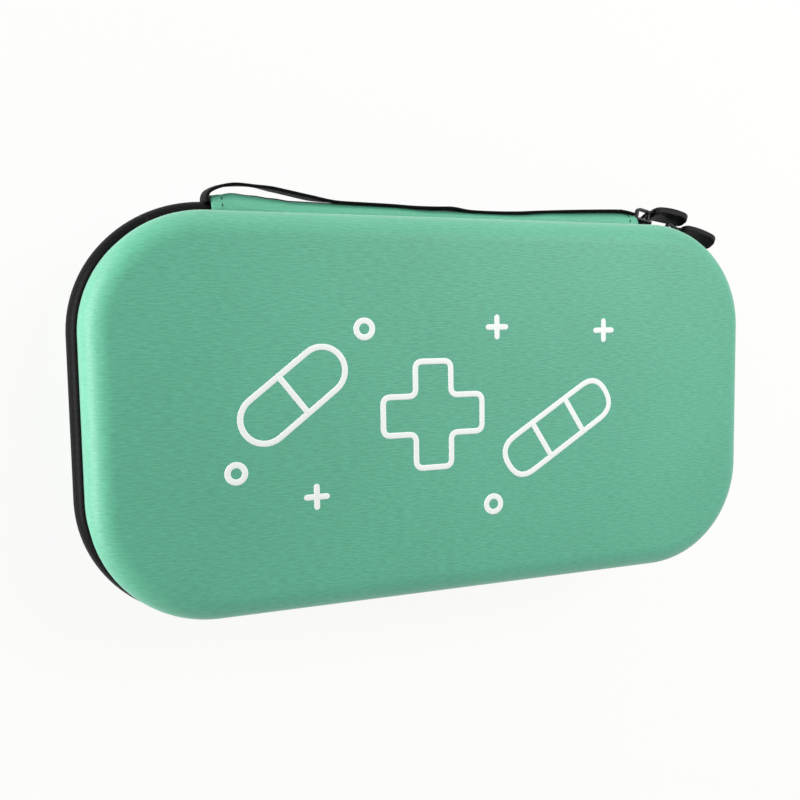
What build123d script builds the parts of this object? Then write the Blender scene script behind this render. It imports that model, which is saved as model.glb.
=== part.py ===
from build123d import *
import math
import os

# Zipped hard case for a stethoscope: two moulded foam shells, a round zipper band between
# them, a fabric strip that hinges them at the back, and a webbing handle along that strip.
# Millimetres. The case lies on its base shell: +Z is up out of the lid, +X runs along the
# length, +Y points to the hinge side, and the origin is the middle of the resting face.

# shells
case_length = 285.0        # over the rims
case_width = 154.0
corner_radius = 46.0       # of the rims, seen from above
base_depth = 27.0
lid_depth = 26.0
band_height = 13.0         # zipper band between the two rims
shell_wall = 3.5
wall_draft = 3.0           # degrees that the side walls lean in
face_round = 12.0          # from the side walls into the big faces
lining_thickness = 0.8
glue_line = 0.1            # between pieces glued or sewn face to face
run_gap = 0.3              # between pieces that move past each other

# zipper band
band_bulge = 4.0           # how far the band stands out of the rims
tape_thickness = 0.9
seam_gap = 1.2             # between the two tape edges
coil_thickness = 1.6
coil_width = 2.5
binding_thickness = 0.8
binding_leg = 8.5          # how deep the binding reaches down the inside
binding_offset = 5.0       # from the outside of the rim
stop_length = 2.4
stop_thickness = 0.8

# hinge strip along the back
strip_left_setback = 50.5  # of the strip's ends from the ends of the rims
strip_right_setback = 40.1
strip_bulge = 5.5
strip_thickness = 1.2
liner_thickness = 0.6
fold_setback = 26.1        # of the ends of what folds with the strip, from the ends of the rims

# handle
webbing_width = 10.0
webbing_thickness = 1.2
# centre line of the handle: (along the strip from its left or right end, out of the rim line)
handle_left = [(-2.4, 4.5), (-6.2, 11.2), (2.0, 12.6), (21.0, 12.0), (47.0, 8.2), (72.0, 6.9)]
handle_right = [(-62.4, 6.7), (-18.4, 7.5), (-1.0, 6.5)]
handle_bends = [3.4, 30.0, 120.0, 200.0, 250.0, 500.0, 180.0]

# sliders and pulls, one at each of these angles round the right hinge-side corner
slider_angles = {"a": 12.9, "b": 32.0}
slider_length = 10.4
blade_thickness = 1.3
blade_reach = 4.0          # from the seam to the blade's edge, on the base's side
blade_lid_reach = 2.2      # shorter, so that the lid's tape can lift out
blade_clearance = 0.6     # over the crown of the tape
lip_width = 0.5
lip_height = 1.0           # that curls over the coil, on the base's side
blade_corner = 1.6
web_thickness = 0.6
web_length = 2.6
bridge_length = 7.6
bridge_width = 2.2
bridge_thickness = 1.2
bridge_corner = 1.8
bridge_hole = 3.6
pull_offset = 1.3          # of the pull's pin from the slider's middle, along the band
pin_diameter = 1.2
link_arm = 3.1             # from the pin to the moulded tab
link_width = 5.4
link_grip = 2.0            # of the arms inside the tab
tab_length = 19.0
tab_width = 8.8
tab_thickness = 3.2
tab_bend = 36.0            # degrees from its root to its tip
tab_end_round = 3.4
tab_edge = 0.7             # fillet of its rim, outside and inside
grip_depth = 0.5           # of the sunk panel on its outside
grip_margin = 1.9          # between the panel and the tab's sides
grip_turns = (7.0, 25.0)   # degrees round the bend where the panel starts and ends
pull_turns = {"a": 20.0, "b": 30.0}   # degrees that each pull stands out of the band's line
pull_leans = {"a": 20.0, "b": 28.0}   # degrees that its top hangs out, with the pin's play in the bridge

# pocket in the lid
net_height = 3.4           # from the lid's rim plane into the lid
net_thickness = 0.6
net_mouth = -24.0          # Y of the pocket's open side
net_pitch = 11.0
net_cord = 1.6             # width of the strands left between the gaps
edge_tape_width = 5.0
edge_tape_thickness = 1.2
hem_width = 9.0
hem_thickness = 1.8

# retaining strap in the base
strap_width = 25.0
strap_thickness = 1.4
strap_drop = 5.5           # of its ends below the base's rim
strap_sag = 4.0            # of its middle below its ends
strap_overlap = 34.0
patch_thickness = 0.9
patch_margin = 1.5

# worked out from the sizes above
base_rim = base_depth
lid_rim = base_depth + band_height
seam_z = base_depth + band_height / 2
back = case_width / 2
corner_x = case_length / 2 - corner_radius
corner_y = case_width / 2 - corner_radius
strip_left = strip_left_setback - case_length / 2
strip_right = case_length / 2 - strip_right_setback
end_reach = case_length / 2 - fold_setback
coil_floor = band_bulge - tape_thickness - coil_thickness - 2 * glue_line
fold_floor = run_gap - tape_thickness     # inner limit of what folds at the back
pieces = {}


def plan(inset):
    """Outline of the rims seen from above, moved inwards by inset."""
    return RectangleRounded(case_length - 2 * inset, case_width - 2 * inset, corner_radius - inset)


def tray(depth, inset, rounding):
    """Solid drafted tray, open side up at Z 0, face down at -depth."""
    body = extrude(plan(inset), amount=-depth, taper=wall_draft)
    return fillet(body.edges().group_by(Axis.Z)[0], rounding)


def skin(depth, inset, thickness, rounding):
    """One moulded layer: a tray with a smaller tray taken out of it."""
    hollow = tray(depth - thickness, inset + thickness, rounding - thickness)
    return tray(depth, inset, rounding) - hollow


def shell_layers(depth):
    """Foam shell and lining of one half, face down, rims in the plane Z 0."""
    shell = skin(depth, 0, shell_wall, face_round)
    inset = shell_wall + glue_line
    lining = skin(depth - inset, inset, lining_thickness, face_round - inset)
    return shell, lining


def binding():
    """Tape that covers the seam inside a rim: a leg down the wall and a lip over the edge."""
    outer, inner = binding_offset, binding_offset + binding_thickness
    top = glue_line + binding_thickness
    leg = Pos(0, 0, top) * extrude(plan(outer) - plan(inner), amount=-binding_leg - top)
    lip = extrude(plan(tape_thickness + glue_line) - plan(inner), amount=binding_thickness)
    return leg + Pos(0, 0, glue_line) * lip


def halves():
    """Shell, lining and binding of the base and of the lid, which is the same turned over."""
    places = {"base": Pos(0, 0, base_rim), "lid": Pos(0, 0, lid_rim) * Rot(180, 0, 0)}
    for name, depth in (("base", base_depth), ("lid", lid_depth)):
        shell, lining = shell_layers(depth)
        pieces[f"{name}_shell"] = places[name] * shell
        pieces[f"{name}_lining"] = places[name] * lining
        pieces[f"{name}_binding"] = places[name] * binding()


def route(side):
    """Once round the rims, starting in the middle of the front (-1) or of the back (1)."""
    last = Line((0, side * back), (side * corner_x, side * back))
    path = Curve() + last
    for run in (2 * corner_y, 2 * corner_x, 2 * corner_y, corner_x):
        last = JernArc(start=last @ 1, tangent=last % 1, radius=corner_radius, arc_size=-90)
        path += last
        last = PolarLine(start=last @ 1, length=run, direction=last % 1)
        path += last
    return path


def swept(section, side):
    """Sweeps a section, drawn as (out of the rim line, height), once round the rims."""
    across = Plane(origin=(0, side * back, 0), x_dir=(0, side, 0), z_dir=(side, 0, 0))
    return sweep(across * section, path=route(side))


def arch(bulge, depth, thickness, low, high, floor):
    """Section of one layer of a round band, depth inside its outside, between two heights."""
    half = band_height / 2
    radius = (half ** 2 + bulge ** 2) / (2 * bulge)
    layer = Circle(radius - depth) - Circle(radius - depth - thickness)
    window = Pos((bulge + 1 + floor) / 2, (low + high) / 2) * Rectangle(bulge + 1 - floor, high - low)
    return (Pos(bulge - radius, seam_z) * layer) & window


def slab(x_low, x_high):
    """Everything on the hinge side between two X values."""
    return Pos((x_low + x_high) / 2, back, seam_z) * Box(x_high - x_low, back, 4 * band_height)


def half_band(low, high, floor=-tape_thickness):
    """Tape and coil sections of one half of the zipper, between two heights."""
    tape = arch(band_bulge, 0, tape_thickness, low, high, floor)
    near = max(low, seam_z - seam_gap / 2 - coil_width)
    far = min(high, seam_z + seam_gap / 2 + coil_width)
    depth = tape_thickness + glue_line
    return tape, arch(band_bulge, depth, coil_thickness, near, far, coil_floor)


def zipper():
    """Tapes and coils of the base and the lid, and their joined ends beside the strip."""
    opening = slab(-end_reach - run_gap, end_reach + run_gap)
    tapes = {
        "base": half_band(base_rim + glue_line, seam_z - seam_gap / 2),
        "lid": half_band(seam_z + seam_gap / 2, lid_rim - glue_line),
    }
    for half, sections in tapes.items():
        for name, section in zip(("zip_tape", "zip_coil"), sections):
            pieces[f"{half}_{name}"] = swept(section, 1) - opening
    ends = {
        "left": slab(-end_reach, strip_left - run_gap),
        "right": slab(strip_right + run_gap, end_reach),
    }
    sections = half_band(base_rim + run_gap, seam_z - seam_gap / 2, fold_floor)
    sections += half_band(seam_z + seam_gap / 2, lid_rim - run_gap, fold_floor)
    rings = [swept(section, -1) for section in sections]
    for side, window in ends.items():
        parts = [part for ring in rings for part in (ring & window).solids()]
        pieces[f"zip_end_{side}"] = Compound(children=parts)


def hinge():
    """Fabric strip over the back, the thin liner inside it and the stop of the zipper."""
    low, high = base_rim + run_gap, lid_rim - run_gap
    window = slab(strip_left, strip_right)
    outside = arch(strip_bulge, 0, strip_thickness, low, high, fold_floor)
    pieces["hinge_strip"] = swept(outside, -1) & window
    trim = binding_thickness + 2 * run_gap
    depth = strip_thickness + glue_line
    inside = arch(strip_bulge, depth, liner_thickness, low + trim, high - trim, fold_floor)
    pieces["hinge_liner"] = swept(inside, -1) & window
    middle = strip_left - 2 * stop_length
    top = back + coil_floor - glue_line
    stop = Box(stop_length, stop_thickness, 2 * coil_width, align=(Align.CENTER, Align.MAX, Align.CENTER))
    pieces["zip_stop"] = Pos(middle, top, seam_z) * stop


def handle():
    """Flat webbing, sewn down at both ends of the strip and slack at the left."""
    points = [(strip_left + along, back + out, seam_z) for along, out in handle_left]
    points += [(strip_right + along, back + out, seam_z) for along, out in handle_right]
    path = FilletPolyline(*points, radius=handle_bends)
    start = Plane(origin=path @ 0, z_dir=path % 0, x_dir=(0, 0, 1))
    pieces["handle_webbing"] = sweep(start * Rectangle(webbing_width, webbing_thickness), path=path)


def corner_place(angle, out=0.0, along=0.0):
    """Place on the band round the right hinge-side corner: X along it, Y out of it."""
    return Pos(corner_x, corner_y, seam_z) * Rot(0, 0, -angle) * Pos(along, corner_radius + out, 0)


def slab_y(sketch, top, thickness):
    """Plate of an outline drawn as (X, Z), whose outside is at Y top."""
    return Pos(0, top, 0) * extrude(Plane.XZ * sketch, amount=thickness)


def slider():
    """Slider casting about the seam: two blades, the web between them, a lip and a bridge."""
    outer = band_bulge + blade_clearance
    inner = coil_floor - blade_clearance
    width, middle = blade_reach + blade_lid_reach, (blade_lid_reach - blade_reach) / 2
    blade = Pos(0, middle) * RectangleRounded(slider_length, width, blade_corner)
    top = outer + blade_thickness
    body = slab_y(blade, top, blade_thickness) + slab_y(blade, inner, blade_thickness)
    web = Pos((slider_length - web_length) / 2, 0) * Rectangle(web_length, web_thickness)
    body += slab_y(web, top, top - inner + blade_thickness)
    lip = Pos(0, lip_width / 2 - blade_reach) * Rectangle(slider_length - 2 * blade_corner, lip_width)
    body += slab_y(lip, outer + glue_line, lip_height)
    body += slab_y(lip, inner + lip_height / 2, lip_height)
    return body + bridge(top)


def bridge(top):
    """Arch over the slider that the pull's pin runs under."""
    rise = bridge_hole + bridge_thickness
    block = Pos(0, top + rise / 2) * RectangleRounded(bridge_length, rise, bridge_corner)
    block += Pos(0, top + rise / 4) * Rectangle(bridge_length, rise / 2)
    block -= Pos(0, top + bridge_hole / 2) * Rectangle(bridge_length - 2 * bridge_thickness, bridge_hole)
    return extrude(block, amount=bridge_width / 2, both=True)


def link(gap=0.0):
    """Wire bail: a pin along Z under the bridge and two arms that run into the tab."""
    half, radius = link_width / 2, pin_diameter / 2 + gap
    bail = Cylinder(radius, link_width)
    lengthwise = Rot(0, 90, 0) * Cylinder(
        radius, link_arm + link_grip + gap, align=(Align.CENTER, Align.CENTER, Align.MIN))
    for z in (-half, half):
        bail += Pos(0, 0, z) * (lengthwise + Sphere(radius))
    return bail


def tab():
    """Moulded pull tab on the link's arms, bent a little inwards, with a sunk grip outside."""
    radius = tab_length / math.radians(tab_bend)
    plate = bent_plate(radius + tab_thickness / 2, tab_thickness, tab_width, (0, tab_bend))
    plate = fillet(plate.edges().filter_by(GeomType.LINE).filter_by(Axis.Z, reverse=True), tab_end_round)
    rims = plate.faces().filter_by(GeomType.CYLINDER).sort_by(SortBy.AREA)[-2:]
    plate = fillet([edge for rim in rims for edge in rim.edges()], tab_edge)
    plate -= bent_plate(radius + tab_thickness / 2, grip_depth, tab_width - 2 * grip_margin, grip_turns)
    return Pos(link_arm, -radius, 0) * plate - link(glue_line)


def bent_plate(outside, thickness, width, turns):
    """Part of a ring about Z, between two angles from +Y towards +X."""
    ring = Circle(outside) - Circle(outside - thickness)
    ends = [(2 * outside * math.sin(math.radians(a)), 2 * outside * math.cos(math.radians(a))) for a in turns]
    return extrude(ring & make_face(Polyline((0, 0), *ends, close=True)), amount=width / 2, both=True)


def pin_out(lean):
    """How far out of the rim line the middle of a pin is that leans under the bridge."""
    inside = band_bulge + blade_clearance + blade_thickness + bridge_hole
    lean = math.radians(lean)
    return inside - run_gap / 2 - pin_diameter / 2 / math.cos(lean) - bridge_width / 2 * math.tan(lean)


def sliders():
    """Both sliders, and the pull of each."""
    casting, bail, grip = slider(), link(), tab()
    for name, angle in slider_angles.items():
        turn = Rot(0, 0, pull_turns[name]) * Rot(-pull_leans[name], 0, 0)
        turned = corner_place(angle, pin_out(pull_leans[name]), pull_offset) * turn
        pieces[f"slider_{name}"] = corner_place(angle) * casting
        pieces[f"pull_link_{name}"] = turned * bail
        pieces[f"pull_tab_{name}"] = turned * grip


def inside_wall(depth):
    """How far in from the rim line the binding's or lining's inside is at a depth."""
    if depth < binding_leg:
        return binding_offset + binding_thickness + glue_line
    lean = depth * math.tan(math.radians(wall_draft))
    return shell_wall + lining_thickness + 2 * glue_line + lean


def pocket():
    """Net pocket in the lid: holed net, sewn edge tape on three sides and elastic hem."""
    inset = inside_wall(net_height)
    level = lid_rim + net_height
    far = case_width
    beyond = Pos(0, net_mouth + hem_width / 2 + glue_line + far / 2) * Rectangle(case_length, far)
    outer, inner = plan(inset) & beyond, plan(inset + edge_tape_width) & beyond
    tape = Pos(0, 0, level - edge_tape_thickness / 2) * extrude(outer - inner, amount=edge_tape_thickness)
    pieces["pocket_edge_tape"] = tape
    net = (plan(inset + edge_tape_width + glue_line) & beyond) - net_gaps(inset + edge_tape_width)
    pieces["pocket_net"] = Pos(0, 0, level - net_thickness / 2) * extrude(net, amount=net_thickness)
    half = case_length / 2 - inset
    hem = Box(2 * half, hem_width, hem_thickness)
    pieces["pocket_hem"] = Pos(0, net_mouth, level) * fillet(hem.edges().filter_by(Axis.X), hem_thickness / 2.5)


def net_gaps(inset):
    """Hexagonal gaps of the net, in rows turned by half a pitch."""
    gap_radius = (net_pitch - net_cord) / math.sqrt(3)
    row_pitch = net_pitch * math.sqrt(3) / 2
    room = plan(inset + net_cord + gap_radius).face()
    low = net_mouth + hem_width / 2 + net_cord + gap_radius
    rows = int((back - inset - low) / row_pitch) + 1
    columns = int(case_length / net_pitch / 2) + 1
    spots = [
        (net_pitch * (column + 0.5 * (row % 2)), low + row * row_pitch)
        for row in range(rows) for column in range(-columns, columns + 1)
    ]
    inside = [spot for spot in spots if room.is_inside(Vector(*spot, 0))]
    return Sketch() + [Pos(*spot) * RegularPolygon(gap_radius, 6, rotation=30) for spot in inside]


def strap():
    """Retaining strap across the base: two halves that close on each other with hook and loop."""
    level = base_rim - strap_drop
    end = back - inside_wall(strap_drop)
    low = level - strap_sag
    half = strap_overlap / 2
    layer = strap_thickness + 2 * (patch_thickness + glue_line) + glue_line
    profile = {
        "strap_loop_half": [(-end, level), (-end * 0.62, low), (half, low)],
        "strap_hook_half": [(end, level), (end * 0.62, low + layer), (-half, low + layer)],
    }
    for name, points in profile.items():
        path = FilletPolyline(*[(0, y, z) for y, z in points], radius=2.5 * strap_width)
        start = Plane(origin=path @ 0, z_dir=path % 0, x_dir=(1, 0, 0))
        pieces[name] = sweep(start * Rectangle(strap_width, strap_thickness), path=path)
    patch = Box(strap_width - 2 * patch_margin, strap_overlap - 2 * patch_margin, patch_thickness)
    for name, rank in (("loop_patch", 0), ("hook_patch", 1)):
        z = low + strap_thickness / 2 + glue_line + patch_thickness / 2 + rank * (patch_thickness + glue_line)
        pieces[name] = Pos(0, 0, z) * patch


halves()
zipper()
hinge()
handle()
sliders()
pocket()
strap()

os.makedirs("parts", exist_ok=True)
for name, piece in pieces.items():
    export_step(piece, f"parts/{name}.step")
    print(name, len(piece.solids()), "solids", round(piece.volume / 1000, 2), "cm3")
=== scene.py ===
from math import ceil, cos, exp, hypot, pi, radians, sin, sqrt, tan
import bmesh
import bpy
from mathutils import Matrix, Vector


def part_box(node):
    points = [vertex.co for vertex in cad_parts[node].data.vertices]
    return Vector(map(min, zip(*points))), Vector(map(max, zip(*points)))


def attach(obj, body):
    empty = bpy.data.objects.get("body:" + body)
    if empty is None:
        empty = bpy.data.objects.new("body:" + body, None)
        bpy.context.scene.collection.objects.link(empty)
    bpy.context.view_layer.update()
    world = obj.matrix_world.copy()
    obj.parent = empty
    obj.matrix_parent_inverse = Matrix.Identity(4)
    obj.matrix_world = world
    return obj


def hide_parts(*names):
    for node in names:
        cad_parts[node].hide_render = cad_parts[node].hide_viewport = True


# Zipped hard case with a mint fabric skin. Metres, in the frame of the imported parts:
# it lies on its base, X runs along it, the hinge and the handle are on the +Y side.

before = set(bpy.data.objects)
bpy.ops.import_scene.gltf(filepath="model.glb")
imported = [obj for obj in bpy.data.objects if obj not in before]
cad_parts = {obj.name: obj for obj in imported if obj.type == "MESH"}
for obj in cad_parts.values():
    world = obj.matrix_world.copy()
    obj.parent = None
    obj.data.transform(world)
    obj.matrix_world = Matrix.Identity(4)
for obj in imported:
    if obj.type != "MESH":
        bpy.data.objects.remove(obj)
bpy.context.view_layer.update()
scene = bpy.context.scene
mm = 0.001

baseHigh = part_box("base_shell")[1]
lidLow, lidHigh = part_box("lid_shell")
case = {
    "halfX": baseHigh.x,
    "halfY": baseHigh.y,
    "baseRim": baseHigh.z,
    "lidRim": lidLow.z,
    "seam": (baseHigh.z + lidLow.z) / 2,
    "baseDepth": baseHigh.z,
    "lidDepth": lidHigh.z - lidLow.z,
    "bulge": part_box("base_zip_tape")[1].x - baseHigh.x,   # of the zipper band out of the rims
    "corner": 46 * mm,                                    # of the rims, seen from above
}
flatX, flatY = case["halfX"] - case["corner"], case["halfY"] - case["corner"]
quarter = case["corner"] * pi / 2
rimLength = 4 * (flatX + flatY + quarter)


# ---- node trees, for finishes and for geometry

class Signal:                       # a node's socket that takes part in plain arithmetic
    def __init__(self, graph, socket):
        self.graph, self.socket = graph, socket

    def maths(self, operation, first, second):
        return self.graph.add("ShaderNodeMath", {"operation": operation}, {0: first, 1: second})

    def __add__(self, other):
        return self.maths("ADD", self, other)

    def __sub__(self, other):
        return self.maths("SUBTRACT", self, other)

    def __rsub__(self, other):
        return self.maths("SUBTRACT", other, self)

    def __mul__(self, other):
        return self.maths("MULTIPLY", self, other)

    def __truediv__(self, other):
        return self.maths("DIVIDE", self, other)

    __radd__ = __add__
    __rmul__ = __mul__


class Graph:                        # a node tree and the one method that adds to it
    def __init__(self, tree):
        self.tree = tree

    def add(self, kind, settings=None, values=None, out=0):
        node = self.tree.nodes.new(kind)
        for key, setting in (settings or {}).items():
            if key == "stops":
                self.setStops(node.color_ramp, setting)
            else:
                setattr(node, key, setting)
        for key, value in (values or {}).items():
            self.put(node.inputs[key], value)
        return Signal(self, node.outputs[out])

    def put(self, socket, value):
        if isinstance(value, Signal):
            self.tree.links.new(value.socket, socket)
        else:
            socket.default_value = value

    def setStops(self, ramp, stops):
        while len(ramp.elements) < len(stops):
            ramp.elements.new(1.0)
        for element, (position, colour) in zip(ramp.elements, stops):
            element.position, element.color = position, colour

    def given(self, wanted):                               # the tree's inputs, by label
        for label, kind in wanted:
            self.tree.interface.new_socket(label, in_out="INPUT", socket_type=f"NodeSocket{kind}")
        self.tree.interface.new_socket("Result", in_out="OUTPUT", socket_type="NodeSocketGeometry")
        return {label: self.add("NodeGroupInput", out=n) for n, (label, kind) in enumerate(wanted)}

    def output(self, instances, material):                 # real geometry with one finish
        real = self.add("GeometryNodeRealizeInstances", {}, {"Geometry": instances})
        done = self.add("GeometryNodeSetMaterial", {}, {"Geometry": real, "Material": material})
        self.put(self.tree.nodes.new("NodeGroupOutput").inputs[0], done)


class Finish(Graph):                # one procedural material
    def __init__(self, name, fixed):
        self.material = bpy.data.materials.new(name)
        self.material.use_nodes = True
        super().__init__(self.material.node_tree)
        self.shader = self.tree.nodes["Principled BSDF"]
        self.feed(fixed)

    def feed(self, values):
        for key, value in values.items():
            self.put(self.shader.inputs[key], value)

    def cloth(self, along, across):                        # the piece's own map, in repeats
        place = self.add("ShaderNodeUVMap", {"uv_map": "cloth"})
        return self.add("ShaderNodeMapping", {}, {"Vector": place, "Scale": (1 / along, 1 / across, 1)})

    def space(self, x, y, z):                              # object space, in repeats
        place = self.add("ShaderNodeTexCoord", out=3)
        return self.add("ShaderNodeMapping", {}, {"Vector": place, "Scale": (1 / x, 1 / y, 1 / z)})

    def noise(self, place, detail=2.0):
        return self.add("ShaderNodeTexNoise", {}, {"Vector": place, "Scale": 1.0, "Detail": detail})

    def waves(self, place, direction, distortion=0.0):
        settings = {"wave_type": "BANDS", "bands_direction": direction, "wave_profile": "SIN"}
        values = {"Vector": place, "Scale": 1 / 3.183, "Distortion": distortion, "Detail": 1.0}
        return self.add("ShaderNodeTexWave", settings, values, out=1)

    def tint(self, tone, dark, light):                     # dark at tone 0, light at tone 1
        stops = [(0.0, (*dark, 1)), (1.0, (*light, 1))]
        return self.add("ShaderNodeValToRGB", {"stops": stops}, {"Fac": tone})

    def relief(self, height, depth, strength=1.0):
        values = {"Height": height, "Distance": depth, "Strength": strength}
        return self.add("ShaderNodeBump", {}, values)


def shade(colour, factor):
    return tuple(c * factor for c in colour)


# ---- finishes

mintLook = {
    "colour": (0.098, 0.410, 0.262),
    "rib": 0.62 * mm, "ribRun": 3.6 * mm,    # the fabric's fine ribs, which run along X
    "thread": 0.34 * mm,
    "patch": 70 * mm,
}


def mintCloth():
    finish = Finish("mintCloth", {"Sheen Weight": 0.2, "Sheen Roughness": 0.4, "Specular IOR Level": 0.5})
    ribs = finish.noise(finish.cloth(mintLook["ribRun"], mintLook["rib"]), 2.5)
    threads = finish.noise(finish.cloth(1.6 * mintLook["thread"], mintLook["thread"]), 1.0)
    patches = finish.noise(finish.cloth(mintLook["patch"], mintLook["patch"]))
    tone = (ribs - 0.5) * 1.5 + (threads - 0.5) * 0.6 + (patches - 0.5) * 0.5 + 0.5
    colour = mintLook["colour"]
    height = ribs * 0.9 + threads * 0.35
    finish.feed({
        "Base Color": finish.tint(tone, shade(colour, 0.8), shade(colour, 1.2)),
        "Roughness": threads * 0.2 + 0.42,
        "Normal": finish.relief(height, 0.22 * mm, 0.7),
    })
    return finish.material


tapeLook = {"colour": (0.0045, 0.0045, 0.0048), "rib": 0.62 * mm, "twill": 1.5 * mm}


def blackTape():
    finish = Finish("blackTape", {"Specular IOR Level": 0.03})
    ribs = finish.waves(finish.cloth(tapeLook["rib"], 1.0), "X", 0.4)
    rows = finish.waves(finish.cloth(tapeLook["twill"], tapeLook["twill"]), "DIAGONAL", 0.5)
    fuzz = finish.noise(finish.cloth(0.3 * mm, 0.3 * mm))
    tone = rows * 0.4 + fuzz * 0.5
    colour = tapeLook["colour"]
    finish.feed({
        "Base Color": finish.tint(tone, shade(colour, 0.8), shade(colour, 1.5)),
        "Roughness": fuzz * 0.15 + 0.3,
        "Normal": finish.relief(ribs * 0.5 + rows * 0.5, 0.09 * mm, 0.5),
    })
    return finish.material


def liningKnit():
    colour = (0.012, 0.012, 0.0135)
    finish = Finish("liningKnit", {"Sheen Weight": 0.06, "Sheen Roughness": 0.6, "Specular IOR Level": 0.15})
    wales = finish.waves(finish.cloth(1.1 * mm, 1.1 * mm), "X", 0.6)
    nap = finish.noise(finish.cloth(0.5 * mm, 0.9 * mm), 3.0)
    brushed = finish.noise(finish.cloth(35 * mm, 18 * mm))
    tone = nap * 0.6 + brushed * 0.5 + wales * 0.15
    finish.feed({
        "Base Color": finish.tint(tone, shade(colour, 0.6), shade(colour, 1.6)),
        "Roughness": nap * 0.2 + 0.72,
        "Normal": finish.relief(nap * 0.6 + wales * 0.4, 0.14 * mm, 0.7),
    })
    return finish.material


def webbingWeave():
    colour = (0.004, 0.004, 0.0043)
    finish = Finish("webbingWeave", {"Specular IOR Level": 0.04})
    warp = finish.waves(finish.cloth(1.0, 0.9 * mm), "Y")
    weft = finish.waves(finish.cloth(0.75 * mm, 1.0), "X", 0.3)
    fuzz = finish.noise(finish.cloth(0.4 * mm, 0.25 * mm))
    weave = warp * weft
    finish.feed({
        "Base Color": finish.tint(weave * 0.6 + fuzz * 0.4, shade(colour, 0.6), shade(colour, 2.2)),
        "Roughness": fuzz * 0.2 + 0.42,
        "Normal": finish.relief(weave + fuzz * 0.3, 0.2 * mm, 0.8),
    })
    return finish.material


def elasticWeave():
    colour = (0.013, 0.013, 0.014)
    finish = Finish("elasticWeave", {"Sheen Weight": 0.04, "Sheen Roughness": 0.5, "Specular IOR Level": 0.18})
    ribs = finish.waves(finish.cloth(0.9 * mm, 1.0), "X", 0.3)
    yarn = finish.waves(finish.cloth(1.0, 0.55 * mm), "Y", 0.3)
    fuzz = finish.noise(finish.cloth(0.35 * mm, 0.35 * mm))
    finish.feed({
        "Base Color": finish.tint(ribs * 0.5 + fuzz * 0.5, shade(colour, 0.6), shade(colour, 1.9)),
        "Roughness": fuzz * 0.2 + 0.6,
        "Normal": finish.relief(ribs * 0.7 + yarn * 0.3, 0.16 * mm, 0.8),
    })
    return finish.material


def blackThread():
    colour = (0.016, 0.016, 0.017)
    finish = Finish("blackThread", {"Sheen Weight": 0.03, "Specular IOR Level": 0.25})
    twist = finish.waves(finish.space(0.45 * mm, 0.45 * mm, 0.45 * mm), "DIAGONAL")
    finish.feed({
        "Base Color": finish.tint(twist, shade(colour, 0.7), shade(colour, 2.0)),
        "Roughness": twist * 0.15 + 0.4,
        "Normal": finish.relief(twist, 0.06 * mm, 0.6),
    })
    return finish.material


def netCord():
    colour = (0.018, 0.018, 0.019)
    finish = Finish("netCord", {"Sheen Weight": 0.04, "Specular IOR Level": 0.2})
    yarn = finish.noise(finish.space(0.3 * mm, 0.3 * mm, 0.3 * mm), 3.0)
    finish.feed({
        "Base Color": finish.tint(yarn, shade(colour, 0.5), shade(colour, 2.0)),
        "Roughness": yarn * 0.2 + 0.55,
        "Normal": finish.relief(yarn, 0.1 * mm, 0.8),
    })
    return finish.material


def hookPile():
    colour = (0.012, 0.012, 0.012)
    finish = Finish("hookPile", {"Sheen Weight": 0.08, "Specular IOR Level": 0.15})
    pile = finish.noise(finish.space(0.5 * mm, 0.5 * mm, 0.5 * mm), 4.0)
    finish.feed({
        "Base Color": finish.tint(pile, shade(colour, 0.4), shade(colour, 2.4)),
        "Roughness": pile * 0.15 + 0.75,
        "Normal": finish.relief(pile, 0.35 * mm, 1.0),
    })
    return finish.material


def zipNylon():
    colour = (0.011, 0.011, 0.012)
    finish = Finish("zipNylon", {"Specular IOR Level": 0.35, "Coat Roughness": 0.2})
    drawn = finish.noise(finish.space(0.4 * mm, 0.4 * mm, 2.0 * mm))
    finish.feed({
        "Base Color": finish.tint(drawn, shade(colour, 0.8), shade(colour, 1.4)),
        "Roughness": drawn * 0.12 + 0.24,
        "Coat Weight": drawn * 0.1 + 0.05,
        "Normal": finish.relief(drawn, 0.03 * mm, 0.4),
    })
    return finish.material


def blackEnamel():
    colour = (0.005, 0.005, 0.0055)
    finish = Finish("blackEnamel", {"Specular IOR Level": 0.15, "Coat Roughness": 0.2})
    peel = finish.noise(finish.space(1.1 * mm, 1.1 * mm, 1.1 * mm))
    worn = finish.noise(finish.space(2.6 * mm, 2.6 * mm, 2.6 * mm), 4.0)
    finish.feed({
        "Base Color": finish.tint(worn, shade(colour, 0.7), shade(colour, 1.8)),
        "Metallic": 0.0,
        "Roughness": worn * 0.25 + 0.18,
        "Coat Weight": peel * 0.08 + 0.02,
        "Normal": finish.relief(peel, 0.05 * mm, 0.35),
    })
    return finish.material


def pullRubber():
    colour = (0.005, 0.005, 0.005)
    finish = Finish("pullRubber", {"Specular IOR Level": 0.14})
    grain = finish.noise(finish.space(0.28 * mm, 0.28 * mm, 0.28 * mm), 2.0)
    rubbed = finish.noise(finish.space(4 * mm, 4 * mm, 4 * mm), 2.0)
    finish.feed({
        "Base Color": finish.tint(rubbed, shade(colour, 0.75), shade(colour, 1.5)),
        "Roughness": rubbed * 0.2 + 0.34,
        "Normal": finish.relief(grain, 0.03 * mm, 0.5),
    })
    return finish.material


def printInk():
    colour = (0.93, 0.97, 0.94)
    finish = Finish("printInk", {"Specular IOR Level": 0.45})
    film = finish.noise(finish.space(0.9 * mm, 0.9 * mm, 0.9 * mm), 2.0)
    ribs = finish.noise(finish.space(mintLook["ribRun"], mintLook["rib"], 1.0), 2.0)
    finish.feed({
        "Base Color": finish.tint(film, shade(colour, 0.96), shade(colour, 1.0)),
        "Roughness": film * 0.2 + 0.34,
        "Normal": finish.relief(ribs * 0.7 + film * 0.3, 0.06 * mm, 0.35),
    })
    return finish.material


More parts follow.
